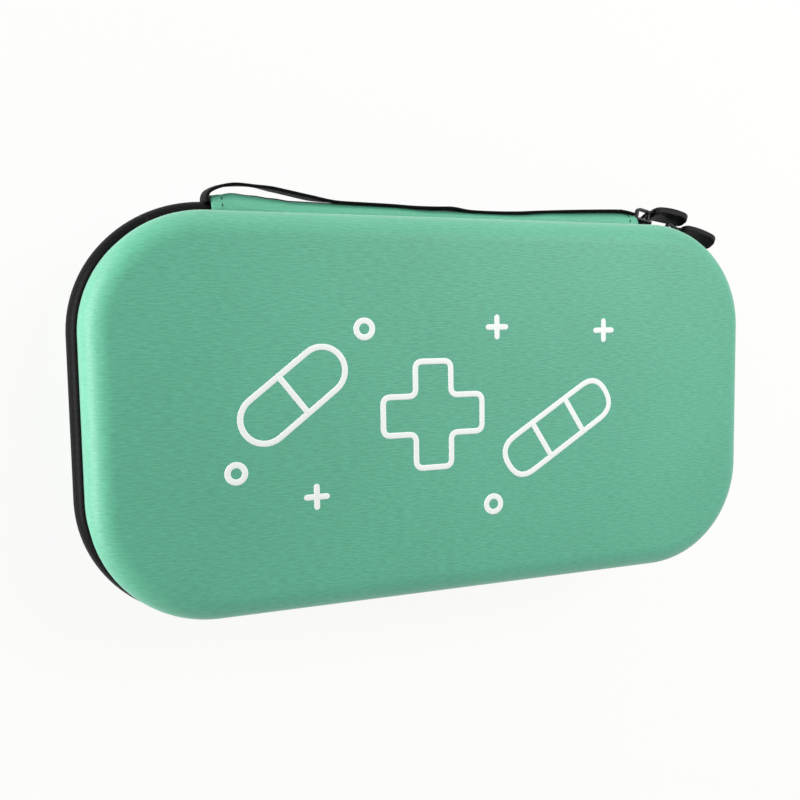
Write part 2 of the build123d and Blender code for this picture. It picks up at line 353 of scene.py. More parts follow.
finishes = {maker.__name__: maker() for maker in (
    mintCloth, blackTape, liningKnit, webbingWeave, elasticWeave, blackThread, netCord, hookPile,
    zipNylon, blackEnamel, pullRubber, printInk)}
print("finishes:", len(finishes))


# ---- mesh helpers

def meshPiece(name, corners, faces, mapping, finish):
    mesh = bpy.data.meshes.new(name)
    mesh.from_pydata(corners, [], faces)
    if mapping:
        layer = mesh.uv_layers.new(name="cloth")
        layer.data.foreach_set("uv", [v for pair in mapping for v in pair])
    shell = bmesh.new()
    shell.from_mesh(mesh)
    bmesh.ops.recalc_face_normals(shell, faces=shell.faces)
    shell.to_mesh(mesh)
    shell.free()
    mesh.shade_smooth()
    mesh.materials.append(finishes[finish])
    piece = bpy.data.objects.new(name, mesh)
    scene.collection.objects.link(piece)
    return piece


def loft(name, rows, uv, finish, ring=False, tube=False):
    # faces between rows of points; ring closes each row, tube closes the last row on the first,
    # and whichever of the two is open gets an end face
    count, deep = len(rows[0]), len(rows)
    faces, spots = [], []
    for j in range(deep if tube else deep - 1):
        for i in range(count if ring else count - 1):
            spots.append([(j, i), (j, i + 1), (j + 1, i + 1), (j + 1, i)])
    if not tube:
        spots += [[(j, i) for i in range(count)] for j in (0, deep - 1)]
    if not ring:
        spots += [[(j, i) for j in range(deep)] for i in (0, count - 1)]
    for face in spots:
        faces.append([j % deep * count + i % count for j, i in face])
    mapping = [uv(j, i) for face in spots for j, i in face]
    return meshPiece(name, [p for row in rows for p in row], faces, mapping, finish)


def seat(piece, body, slotName, *nodes):
    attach(piece, body)
    if nodes:
        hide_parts(*nodes)
    return piece


def rimStop(s):                     # plan point and outward direction, s metres clockwise from the back's middle
    s %= rimLength
    x, y, heading = 0.0, case["halfY"], 0.0
    for length in (flatX, quarter, 2 * flatY, quarter, 2 * flatX, quarter, 2 * flatY, quarter, flatX):
        step = min(s, length)
        if length == quarter:
            centreX, centreY = x + case["corner"] * sin(heading), y - case["corner"] * cos(heading)
            heading -= step / case["corner"]
            x, y = centreX - case["corner"] * sin(heading), centreY + case["corner"] * cos(heading)
        else:
            x, y = x + step * cos(heading), y + step * sin(heading)
        s -= step
        if s <= 0:
            break
    return x, y, -sin(heading), cos(heading)


def stations(span, step=2.4 * mm):
    start, end = span
    count = ceil((end - start) / step)
    spots = [start + (end - start) * k / count for k in range(count + 1)]
    return [(*rimStop(s), s) for s in spots]


def lengths(points):                # distance along a row of points
    total, made = 0.0, [0.0]
    for (a, b), (c, d) in zip(points, points[1:]):
        total += hypot(c - a, d - b)
        made.append(total)
    return made


def bandPiece(name, sectionAt, span, finish, ring=False, step=2.4 * mm):
    # sweeps a closed section, drawn as (out of the rim line, height), along the rims
    stops = stations(span, step)
    used = stops[:-1] if ring else stops
    sections = [sectionAt(stop[4]) for stop in used]
    rows = [
        [(x + nx * section[j][0], y + ny * section[j][0], section[j][1])
         for (x, y, nx, ny, s), section in zip(used, sections)]
        for j in range(len(sections[0]))
    ]
    around = lengths(sections[0] + sections[0][:1])
    return loft(name, rows, lambda j, i: (stops[i][4], around[j]), finish, ring=ring, tube=True)


def arc(centre, radius, first, last, count):               # points from one angle to another, in degrees
    steps = [radians(first + (last - first) * k / count) for k in range(count + 1)]
    return [(centre[0] + radius * cos(a), centre[1] + radius * sin(a)) for a in steps]


wholeRim = (0.0, rimLength)


# ---- things in rows and nets, grown by geometry nodes

def pathTree(pivot):
    tree = bpy.data.node_groups.new("rowAlongPath", "GeometryNodeTree")
    graph = Graph(tree)
    given = graph.given((("Path", "Geometry"), ("Piece", "Object"), ("Pitch", "Float"), ("Lean", "Float"),
                         ("Seed", "Int"), ("Finish", "Material")))
    curve = graph.add("GeometryNodeMeshToCurve", {}, {"Mesh": given["Path"]})
    evenly = graph.add("GeometryNodeResampleCurve", {"mode": "LENGTH"}, {"Curve": curve, "Length": given["Pitch"]})
    tangent = graph.add("GeometryNodeInputTangent")
    along = graph.add("FunctionNodeAlignRotationToVector", {"axis": "X", "pivot_axis": pivot}, {"Vector": tangent})
    least = given["Lean"] * -1
    low = graph.add("ShaderNodeCombineXYZ", {}, {0: least, 1: least, 2: least})
    high = graph.add("ShaderNodeCombineXYZ", {}, {0: given["Lean"], 1: given["Lean"], 2: given["Lean"]})
    sway = graph.add("FunctionNodeRandomValue", {"data_type": "FLOAT_VECTOR"}, {0: low, 1: high, "Seed": given["Seed"]})
    turn = graph.add("FunctionNodeEulerToRotation", {}, {"Euler": sway})
    turned = graph.add("FunctionNodeRotateRotation", {"rotation_space": "LOCAL"}, {"Rotation": along, "Rotate By": turn})
    piece = graph.add("GeometryNodeObjectInfo", {"transform_space": "ORIGINAL"}, {"Object": given["Piece"]}, out=4)
    spread = graph.add("GeometryNodeInstanceOnPoints", {}, {"Points": evenly, "Instance": piece, "Rotation": turned})
    graph.output(spread, given["Finish"])
    return tree


def netTree():
    tree = bpy.data.node_groups.new("holedNet", "GeometryNodeTree")
    graph = Graph(tree)
    given = graph.given((("Path", "Geometry"), ("Knot", "Object"), ("Pitch", "Float"), ("Columns", "Int"),
                         ("Rows", "Int"), ("Half Length", "Float"), ("Half Width", "Float"), ("Corner", "Float"),
                         ("Place", "Vector"), ("Slack", "Float"), ("Finish", "Material")))
    rowPitch = given["Pitch"] * (sqrt(3) / 2)
    sizes = {"Size X": given["Pitch"] * (given["Columns"] - 1), "Size Y": rowPitch * (given["Rows"] - 1),
             "Vertices X": given["Columns"], "Vertices Y": given["Rows"]}
    grid = graph.add("GeometryNodeMeshGrid", {}, sizes)
    row = graph.add("ShaderNodeMath", {"operation": "FLOORED_MODULO"},
                    {0: graph.add("GeometryNodeInputIndex"), 1: given["Rows"]})
    odd = graph.add("ShaderNodeMath", {"operation": "FLOORED_MODULO"}, {0: row, 1: 2.0})
    step = graph.add("ShaderNodeCombineXYZ", {}, {0: odd * given["Pitch"] * 0.5})
    shifted = graph.add("GeometryNodeSetPosition", {}, {"Geometry": grid, "Offset": step})
    placed = graph.add("GeometryNodeTransform", {}, {"Geometry": shifted, "Translation": given["Place"]})
    spot = graph.add("ShaderNodeSeparateXYZ", {}, {0: graph.add("GeometryNodeInputPosition")})
    spotY = Signal(graph, spot.socket.node.outputs[1])
    beyondX = graph.add("ShaderNodeMath", {"operation": "ABSOLUTE"}, {0: spot}) - (given["Half Length"] - given["Corner"])
    beyondY = graph.add("ShaderNodeMath", {"operation": "ABSOLUTE"}, {0: spotY}) - (given["Half Width"] - given["Corner"])
    sideX = graph.add("ShaderNodeMath", {"operation": "MAXIMUM"}, {0: beyondX, 1: 0.0})
    sideY = graph.add("ShaderNodeMath", {"operation": "MAXIMUM"}, {0: beyondY, 1: 0.0})
    reach = graph.add("ShaderNodeMath", {"operation": "SQRT"}, {0: sideX * sideX + sideY * sideY})
    out = graph.add("FunctionNodeCompare", {"data_type": "FLOAT", "operation": "GREATER_THAN"},
                    {0: reach, 1: given["Corner"]})
    kept = graph.add("GeometryNodeDeleteGeometry", {"domain": "POINT"}, {"Geometry": placed, "Selection": out})
    knot = graph.add("GeometryNodeObjectInfo", {"transform_space": "ORIGINAL"}, {"Object": given["Knot"]}, out=4)
    spread = graph.add("GeometryNodeInstanceOnPoints", {}, {"Points": kept, "Instance": knot})
    real = graph.add("GeometryNodeRealizeInstances", {}, {"Geometry": spread})
    billow = graph.add("ShaderNodeTexNoise", {}, {"Vector": graph.add("GeometryNodeInputPosition"), "Scale": 34.0})
    lift = graph.add("ShaderNodeCombineXYZ", {}, {2: (billow - 0.5) * given["Slack"]})
    slack = graph.add("GeometryNodeSetPosition", {}, {"Geometry": real, "Offset": lift})
    graph.output(slack, given["Finish"])
    return tree


def grown(name, tree, host, values, finish):   # the tree's result as a plain mesh in a new object
    modifier = host.modifiers.new(name, "NODES")
    modifier.node_group = tree
    values = {**values, "Finish": finishes[finish]}
    for item in tree.interface.items_tree:
        if item.in_out == "INPUT" and item.name in values:
            modifier[item.identifier] = values[item.name]
    made = host.evaluated_get(bpy.context.evaluated_depsgraph_get())
    mesh = bpy.data.meshes.new_from_object(made)
    host.modifiers.remove(modifier)
    bpy.data.objects.remove(host)
    mesh.name = name
    mesh.shade_smooth()
    piece = bpy.data.objects.new(name, mesh)
    scene.collection.objects.link(piece)
    return piece


def pathHost(paths):                # wire mesh of (points, closed) paths, for the tree to follow
    corners, edges = [], []
    for points, closed in paths:
        first, count = len(corners), len(points)
        corners += points
        edges += [(first + k, first + (k + 1) % count) for k in range(count if closed else count - 1)]
    mesh = bpy.data.meshes.new("path")
    mesh.from_pydata(corners, edges, [])
    host = bpy.data.objects.new("path", mesh)
    scene.collection.objects.link(host)
    return host


def seed(length, radius, bow, sides=8):        # one stitch, its ends dipped into the cloth
    rows = []
    for k in range(7):
        t = -1 + 2 * k / 6
        girth = radius * sqrt(max(0.0, 1 - t ** 4)) + radius * 0.05
        turns = [2 * pi * n / sides for n in range(sides)]
        rows.append([(t * length / 2, girth * cos(a) - bow * t * t, girth * sin(a)) for a in turns])
    return loft("stitchPattern", rows, lambda j, i: (0, 0), "blackThread", ring=True)


stitchLook = {"pitch": 3.4 * mm, "length": 2.7 * mm, "radius": 0.27 * mm, "bow": 0.2 * mm, "lean": 0.03}
tackLook = {"pitch": 2.1 * mm, "length": 1.7 * mm, "radius": 0.24 * mm, "bow": 0.1 * mm, "lean": 0.03}


def stitches(name, body, slotName, paths, outward=1, look=stitchLook, tree="path"):
    pattern = seed(look["length"], look["radius"], outward * look["bow"])
    values = {"Piece": pattern, "Pitch": look["pitch"], "Lean": look["lean"], "Seed": len(paths)}
    piece = grown(name, trees[tree], pathHost(paths), values, "blackThread")
    bpy.data.objects.remove(pattern)
    return seat(piece, body, slotName)


def rimPath(span, out, height, step=2.4 * mm):
    stops = stations(span, step)
    closed = span == wholeRim
    return [(x + nx * out, y + ny * out, height) for x, y, nx, ny, s in (stops[:-1] if closed else stops)], closed


trees = {"path": pathTree("Z"), "upright": pathTree("AUTO"), "net": netTree()}


# ---- shells and linings

shellLook = {
    "wall": 3.5 * mm,
    "draft": 3,                     # of the side walls, in degrees
    "round": 10.5 * mm,             # from the side walls into the big face
    "edge": 0.9 * mm,               # fold of the skin over the rim
    "crown": 0.4 * mm,              # of the big face
    "lining": 0.8 * mm,
    "glue": 0.1 * mm,
}


def trayProfile(depth, inset, rounding, edge):
    # (inset from the rim line, height towards the face), from the rim to the border of the face
    draft = shellLook["draft"]
    lean = tan(radians(draft))
    height = depth - rounding
    middle = inset + rounding / cos(radians(draft)) + height * lean
    # the lip turns outward or, for a negative edge, inward
    lip = [(inset + edge * (1 - cos(a)), abs(edge) * (1 - sin(a))) for a in (pi / 2 - k * pi / 8 for k in range(5))]
    wall = [(inset + h * lean, h) for h in (0.35 * height, 0.7 * height)]
    return lip + wall + arc((middle, height), rounding, 180 - draft, 90, 12)


def trayPiece(name, rim, up, depth, inset, wall, rounding, edge, crown, finish):
    outer = trayProfile(depth - crown, inset, rounding, edge)
    inner = trayProfile(depth - wall, inset + wall, rounding - wall, -0.6 * edge)
    profile = outer[::-1] + inner
    stops = stations(wholeRim)[:-1]
    waist = case["halfX"] - case["halfY"]
    border, floor = profile[0], profile[-1]
    shares = (0.93, 0.8, 0.62, 0.42, 0.24, 0.1)
    spans = lengths(profile)

    def ringAt(i, h, share):
        row = []
        for x, y, nx, ny, s in stops:
            a, b = x - nx * i, y - ny * i
            a += (max(-waist, min(waist, a)) - a) * share
            row.append((a, b * (1 - share), rim + up * h))
        return row

    rows = [ringAt(border[0], border[1] + crown * (1 - (1 - t) ** 2), t) for t in shares]
    rows += [ringAt(i, h, 0) for i, h in profile]
    rows += [ringAt(floor[0], floor[1], t) for t in shares[::-1]]
    lead = len(shares)

    def mapped(j, i):               # flat over the face, then down the walls
        x, y, nx, ny, s = stops[i % len(stops)]
        if lead <= j < lead + len(profile):
            walk = spans[j - lead]
            return x - nx * (border[0] - walk), y - ny * (border[0] - walk)
        return rows[j][i % len(stops)][0], rows[j][i % len(stops)][1]

    return loft(name, rows, mapped, finish, ring=True)


def shells():
    look = shellLook
    sunk = look["wall"] + look["glue"]
    for half, rim, up in (("base", case["baseRim"], -1), ("lid", case["lidRim"], 1)):
        depth = case[f"{half}Depth"]
        crown = look["crown"] if half == "lid" else 0.0
        shell = trayPiece(f"{half}Shell", rim, up, depth, 0, look["wall"], look["round"], look["edge"],
                          crown, "mintCloth")
        seat(shell, half, "mint_fabric", f"{half}_shell")
        lining = trayPiece(f"{half}Lining", rim, up, depth - sunk, sunk, look["lining"], look["round"] - sunk,
                           0.3 * mm, 0.0, "liningKnit")
        seat(lining, half, "lining_fabric", f"{half}_lining")


bindingLook = {"out": 5 * mm, "thick": 0.8 * mm, "leg": 8.5 * mm, "tuck": 1.0 * mm, "glue": 0.1 * mm}


def bindings():
    look = bindingLook
    near, far = look["out"], look["out"] + look["thick"]
    over = look["glue"] + look["thick"]
    round_ = look["thick"] / 2
    # (inset, height into the half), closed, with rounded edges where it shows
    section = [(look["tuck"], -look["glue"]), (look["tuck"], -over)]
    section += [(far - round_ + x, round_ - over - y) for x, y in arc((0, 0), round_, 90, 0, 4)]
    section += [(near + round_ + x, look["leg"] - round_ + y) for x, y in arc((0, 0), round_, 0, 180, 5)]
    section += [(near, -look["glue"])]
    for half, rim, up in (("base", case["baseRim"], -1), ("lid", case["lidRim"], 1)):
        points = [(-inset, rim + up * h) for inset, h in section]
        tape = bandPiece(f"{half}Binding", lambda s: points, wholeRim, "blackTape", ring=True)
        seat(tape, half, "black_tape", f"{half}_binding")
        rows = [rimPath(wholeRim, -far - 0.05 * mm, rim + up * h) for h in (1.6 * mm, 6.8 * mm)]
        stitches(f"{half}BindingStitches", half, "black_tape", rows, outward=-1)


shells()
bindings()
print("shells, linings and bindings")


# ---- zipper band

zipLook = {
    "tape": 0.9 * mm,
    "seamGap": 1.2 * mm,
    "glue": 0.1 * mm,
    "lip": 0.18 * mm,               # raised edge along the seam
    "pitch": 1.9 * mm,              # of the teeth
    "toothDeep": 1.5 * mm, "toothWide": 0.84 * mm, "toothReach": 0.42 * mm, "toothTail": 2.45 * mm,
    "cut": radians(25.1),           # where the joined ends end, round the hinge-side corners
    "endGap": 0.05 * mm,
    "swell": 1.3 * mm, "swellRun": 45 * mm,      # how the band stands out more beside the strip's left end
}
stripEnds = (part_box("hinge_strip")[0].x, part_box("hinge_strip")[1].x)
bandHalf = (case["lidRim"] - case["baseRim"]) / 2
bandRadius = (bandHalf ** 2 + case["bulge"] ** 2) / (2 * case["bulge"])


def bandOut(h, depth=0.0):          # how far out of the rim line the band is, h from the seam
    return case["bulge"] - bandRadius + sqrt((bandRadius - depth) ** 2 - h * h)


def bandSwell(s):
    left = (rimLength + stripEnds[0] - s) / zipLook["swellRun"]
    return zipLook["swell"] * max(0.0, 1 - max(0.0, left)) ** 2


def tapeSection(up, s, inner=-0.9 * mm):
    look = zipLook
    rolled = look["tape"] / 2
    start, end = look["seamGap"] / 2 + rolled, bandHalf - look["glue"]
    outside = [end + (start - end) * k / 12 for k in range(13)]
    points = [(bandOut(h) + look["lip"] * exp(-((h - start) / (1.1 * mm)) ** 2), h) for h in outside]
    centre = bandOut(start) + look["lip"] - rolled
    points += arc((centre, start), rolled, -60, -150, 3)
    behind = sqrt((bandRadius - look["tape"]) ** 2 - (inner - case["bulge"] + bandRadius) ** 2)
    inside = [start + (behind - start) * k / 8 for k in range(9)]
    points += [(bandOut(h, look["tape"]), h) for h in inside] + [(inner, end)]
    swell = bandSwell(s)
    return [(out + swell * (1 - (h / bandHalf) ** 2), case["seam"] + up * h) for out, h in points]


def toothPattern(up):               # one tooth: a bar across the tape with a thick head at the seam
    look = zipLook
    spots = [(-look["toothReach"], 0.85), (-0.3 * mm, 1.1), (0.0, 1.12), (0.4 * mm, 1.0), (0.8 * mm, 0.8),
             (1.8 * mm, 0.8), (look["toothTail"], 0.75), (look["toothTail"] + 0.3 * mm, 0.4)]
    rows = []
    for h, girth in spots:
        turns = [2 * pi * n / 8 for n in range(8)]
        rows.append([(girth * look["toothWide"] / 2 * cos(a), look["toothDeep"] / 2 * girth ** 0.5 * sin(a), up * h)
                     for a in turns])
    return loft("toothPattern", rows, lambda j, i: (0, 0), "zipNylon", ring=True)


def zipPieces(name, body, up, span, tapeNode, coilNode, inner=-0.9 * mm):
    look = zipLook
    tape = bandPiece(f"{name}Tape", lambda s: tapeSection(up, s, inner), span, "blackTape")
    middle = bandOut(0, look["tape"] + look["glue"]) - look["toothDeep"] / 2 - 0.05 * mm
    shift = look["pitch"] / 2 if up > 0 else 0.0
    stops = stations((span[0] + shift, span[1]))
    row = [(x + nx * (middle + bandSwell(s)), y + ny * (middle + bandSwell(s)), case["seam"])
           for x, y, nx, ny, s in stops], False
    pattern = toothPattern(up)
    values = {"Piece": pattern, "Pitch": look["pitch"], "Lean": 0.0, "Seed": 0}
    teeth = grown(f"{name}Teeth", trees["path"], pathHost([row]), values, "zipNylon")
    bpy.data.objects.remove(pattern)
    seat(tape, body, "black_tape", *tapeNode)
    seat(teeth, body, "zip_coil", *coilNode)


def zipper():
    look = zipLook
    cut = flatX + look["cut"] * case["corner"]
    rest = (cut + look["endGap"], rimLength - cut - look["endGap"])
    for half, up in (("base", -1), ("lid", 1)):
        zipPieces(f"{half}Zip", half, up, rest, [f"{half}_zip_tape"], [f"{half}_zip_coil"])
    stripRight = flatX + case["corner"] * (stripEnds[1] - flatX) / (case["corner"] + 2 * mm)
    joined = {
        "Left": (rimLength - cut, rimLength + stripEnds[0] - look["endGap"]),
        "Right": (stripRight + look["endGap"], cut),
    }
    for side, span in joined.items():
        for half, up in (("Base", -1), ("Lid", 1)):
            nodes = [f"zip_end_{side.lower()}"] if half == "Base" else []
            zipPieces(f"zipEnd{side}{half}", "spine", up, span, nodes, [], inner=-0.6 * mm)


zipper()
print("zipper band")


# ---- hinge strip, liner and handle

stripLook = {
    # how far its crown stands out of the rim line, along X, where the handle pulls it and at its ends
    "crown": [(-92.0, 7.4), (-84.0, 9.0), (-76.0, 8.2), (-68.0, 7.3), (-60.0, 6.5), (-44.0, 6.6), (-18.0, 6.3),
              (0.0, 5.2), (39.0, 4.8), (59.0, 6.3), (94.0, 7.3), (99.0, 7.0), (103.0, 5.6)],
    "thick": 1.1 * mm,
    "hem": 3.6 * mm, "hemRise": 0.45 * mm,       # fabric turned under and sewn down at both ends
    "tack": 0.6 * mm,               # row of stitches beside each hem
    "gap": 0.3 * mm,
    # span along X and girth of a thin black bead, painted shade along the strip's crown
    "shadeLine": (-85 * mm, -46 * mm), "shadeLineGirth": 0.35 * mm,
}


def between(table, x):              # smooth value between the rows of a table
    if x <= table[0][0]:
        return table[0][1]
    for (a, b), (c, d) in zip(table, table[1:]):
        if x <= c:
            t = (x - a) / (c - a)
            return b + (d - b) * t * t * (3 - 2 * t)
    return table[-1][1]


def stripSection(s, sink=0.0, trim=0.0, thick=stripLook["thick"]):
    x = s / mm
    crown = between(stripLook["crown"], x) * mm - sink
    half = bandHalf - stripLook["gap"] - trim
    near = min(s - stripEnds[0], stripEnds[1] - s) / stripLook["hem"]
    fold = stripLook["hemRise"] * max(0.0, min(1.0, (1.15 - near) / 0.3))
    outer, inner = [], []
    for k in range(17):
        t = -1 + 2 * k / 16
        bow = (1 - t * t) ** 0.55
        outer.append(((crown + fold) * bow - (1 - bow) * 0.2 * mm, case["seam"] + t * half))
        inner.append(((crown - thick) * bow - (1 - bow) * 0.6 * mm, case["seam"] + t * (half - 0.5 * thick)))
    return outer + inner[::-1]


def hinge():
    stripRight = flatX + case["corner"] * (stripEnds[1] - flatX) / (case["corner"] + 2 * mm)
    span = (stripEnds[0], stripRight)
    strip = bandPiece("hingeStrip", stripSection, span, "mintCloth", step=0.9 * mm)
    seat(strip, "spine", "mint_fabric", "hinge_strip")
    rows = []
    for s in (span[0] + stripLook["hem"] + stripLook["tack"], span[1] - stripLook["hem"] - stripLook["tack"]):
        x, y, nx, ny = rimStop(s)
        outline = [(x + nx * out, y + ny * out, z) for out, z in stripSection(s)]
        rows += [(outline[1:4], False), (outline[13:16], False)]
    stitches("hingeStripStitches", "spine", "mint_fabric", rows, outward=0, look=tackLook, tree="upright")

    def linerSection(s):
        return stripSection(s, sink=stripLook["thick"] + 0.15 * mm, trim=1.4 * mm, thick=0.6 * mm)

    liner = bandPiece("hingeLiner", linerSection, span, "liningKnit")
    seat(liner, "spine", "lining_fabric", "hinge_liner")
    shadeLineStart, shadeLineEnd = stripLook["shadeLine"]

    def shadeLineSection(s):            # thin black bead along the crown, under the slack of the handle: painted shade of the crown's far side
        share = (s - shadeLineStart) / (shadeLineEnd - shadeLineStart)
        out, height = stripSection(s)[9]
        return arc((out, height), stripLook["shadeLineGirth"] * (0.15 + sin(pi * share)), 0, 315, 7)

    # the bead is painted shade in black, not a part of the case
    shadeLine = bandPiece("hingeStripRidge", shadeLineSection, stripLook["shadeLine"], "blackTape", step=0.9 * mm)
    seat(shadeLine, "spine", "black_tape")
    for piece, section in ((strip, stripSection(0.0)), (liner, linerSection(0.0))):
        girth = lengths(section[:17])[-1]


handleLook = {
    "width": 10 * mm, "thick": 1.2 * mm,
    # along X and out of the rim line, in millimetres: a slack arch, then along the strip's crown
    "route": [(-93.8, 4.5), (-94.4, 8.0), (-90.8, 10.7), (-84.6, 12.5), (-76.0, 12.5), (-68.0, 11.4), (-60.0, 9.9),
              (-51.0, 8.2), (-42.0, 7.2), (-34.0, 7.0), (-18.0, 6.7), (-8.0, 6.2), (3.0, 5.8), (10.0, 6.1),
              (19.0, 5.3), (39.0, 5.2), (59.0, 6.7), (86.0, 7.7), (97.0, 8.0), (101.6, 6.6)],
    "twist": [(-96, 9), (-90, 8), (-83, 6.5), (-75.4, 9.5), (-67, 3), (-53, 2), (-41, 9), (-12, 8), (8, 1), (18, 9),
              (40, 7), (60, 7), (90, 5), (102, 7)],              # top edge inwards, in degrees
}


def smoothRoute(points, steps=14):  # quadratic spline with the points as its control points
    made = [points[0]]
    mids = [((a[0] + b[0]) / 2, (a[1] + b[1]) / 2) for a, b in zip(points, points[1:])]
    starts = [points[0]] + mids[1:-1]
    ends = mids[1:-1] + [points[-1]]
    for start, control, end in zip(starts, points[1:-1], ends):
        for k in range(1, steps + 1):
            t = k / steps
            weights = ((1 - t) ** 2, 2 * t * (1 - t), t * t)
            made.append(tuple(sum(w * p[n] for w, p in zip(weights, (start, control, end))) for n in (0, 1)))
    return made


def ribbonRing(width, thick, points=3):        # rounded section of flat webbing: (across, through)
    half, edge = width / 2 - thick / 2, thick / 2
    return (arc((half, 0), edge, -90, 90, points) + [(0.33 * half, edge), (-0.33 * half, edge)]
            + arc((-half, 0), edge, 90, 270, points) + [(-0.33 * half, -edge), (0.33 * half, -edge)])


def handle():
    look = handleLook
    route = [(x * mm, case["halfY"] + out * mm) for x, out in smoothRoute(look["route"])]
    ring = ribbonRing(look["width"], look["thick"])
    rows = [[] for spot in ring]
    for k, (x, y) in enumerate(route):
        ahead, behind = route[min(k + 1, len(route) - 1)], route[max(k - 1, 0)]
        tangent = Vector((ahead[0] - behind[0], ahead[1] - behind[1], 0)).normalized()
        turn = Matrix.Rotation(radians(between(look["twist"], x / mm)), 3, tangent)
        up, out = turn @ Vector((0, 0, 1)), turn @ Vector((-tangent.y, tangent.x, 0))
        for row, (across, through) in zip(rows, ring):
            row.append(Vector((x, y, case["seam"])) + up * across + out * through)
    along = lengths(route)
    around = lengths(ring + ring[:1])
    webbing = loft("handleWebbing", rows, lambda j, i: (along[i], around[j]), "webbingWeave", tube=True)
    seat(webbing, "spine", "webbing", "handle_webbing")
    sewn = [([rows[3][k].lerp(rows[6][k], t) for t in (0.14, 0.86)], False) for k in (len(route) - 11, len(route) - 4)]
    stitches("handleStitches", "spine", "webbing", sewn, outward=0, look=tackLook, tree="upright")


hinge()
handle()
print("hinge strip and handle")


# ---- sliders, pulls and the zipper's stop

castLook = {"bevel": 0.22 * mm, "weld": 0.01 * mm}


def castPiece(node, name, body, slotName, finish, bevel):
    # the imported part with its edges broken, as a casting has them
    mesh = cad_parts[node].data.copy()
    mesh.name = name
    piece = bpy.data.objects.new(name, mesh)
    scene.collection.objects.link(piece)
    solid = bmesh.new()
    solid.from_mesh(mesh)
    bmesh.ops.remove_doubles(solid, verts=solid.verts, dist=castLook["weld"])
    flat = [e for e in solid.edges if len(e.link_faces) == 2 and e.calc_face_angle() < radians(1)]
    bmesh.ops.dissolve_edges(solid, edges=flat, use_verts=True)
    solid.to_mesh(mesh)
    solid.free()
    mesh.materials.clear()
    mesh.materials.append(finishes[finish])
    edge = piece.modifiers.new("edge", "BEVEL")
    edge.width, edge.segments, edge.limit_method, edge.angle_limit = bevel, 2, "ANGLE", radians(35)
    edge.harden_normals = False
    mesh.shade_smooth()
    made = bpy.data.meshes.new_from_object(piece.evaluated_get(bpy.context.evaluated_depsgraph_get()))
    piece.modifiers.remove(edge)
    piece.data = made
    made.name = name
    return seat(piece, body, slotName, node)


def pulls():
    bodies = {"a": "spine", "b": "slider_b"}
    for key, body in bodies.items():
        castPiece(f"slider_{key}", f"slider_{key}_casting", body, "black_casting", "blackEnamel", castLook["bevel"])
        castPiece(f"pull_link_{key}", f"pull_{key}_bail", f"pull_{key}", "pull_wire", "blackEnamel", 0.0 * mm)
        castPiece(f"pull_tab_{key}", f"pull_{key}_tab", f"pull_{key}", "pull_rubber", "pullRubber", 0.0 * mm)
    castPiece("zip_stop", "zipStop", "spine", "stop_plastic", "zipNylon", castLook["bevel"])


pulls()
print("sliders and pulls")


# ---- net pocket in the lid

pocketLook = {
    "level": 3.4 * mm,              # from the lid's rim plane
    "inset": 5.9 * mm,              # inside of the binding, from the rim line
    "tape": 5 * mm, "tapeThick": 1.2 * mm,
    "hem": 9 * mm, "hemThick": 1.8 * mm,
    "pitch": 3.2 * mm, "cord": 0.86 * mm, "slack": 1.2 * mm,
}


def knotPattern(side, cord):        # one knot of the net and its three strands, six-sided
    corners, faces = [], []
    for arm in range(3):
        heading = pi / 2 + arm * 2 * pi / 3
        ahead, left = Vector((cos(heading), sin(heading), 0)), Vector((-sin(heading), cos(heading), 0))
        first = len(corners)
        for reach, girth in ((0.0, 0.8), (side / 2, 0.95), (side, 0.8)):
            for n in range(5):
                a = 2 * pi * n / 5
                corners.append(ahead * reach + left * (cord / 2 * girth * cos(a)) + Vector((0, 0, cord / 2 * girth * sin(a))))
        for k in range(2):
            for n in range(5):
                a, b = first + k * 5 + n, first + k * 5 + (n + 1) % 5
                faces.append((a, b, b + 5, a + 5))
        faces += [tuple(first + n for n in range(5)), tuple(first + 10 + n for n in range(5))]
    return meshPiece("knotPattern", corners, faces, None, "netCord")


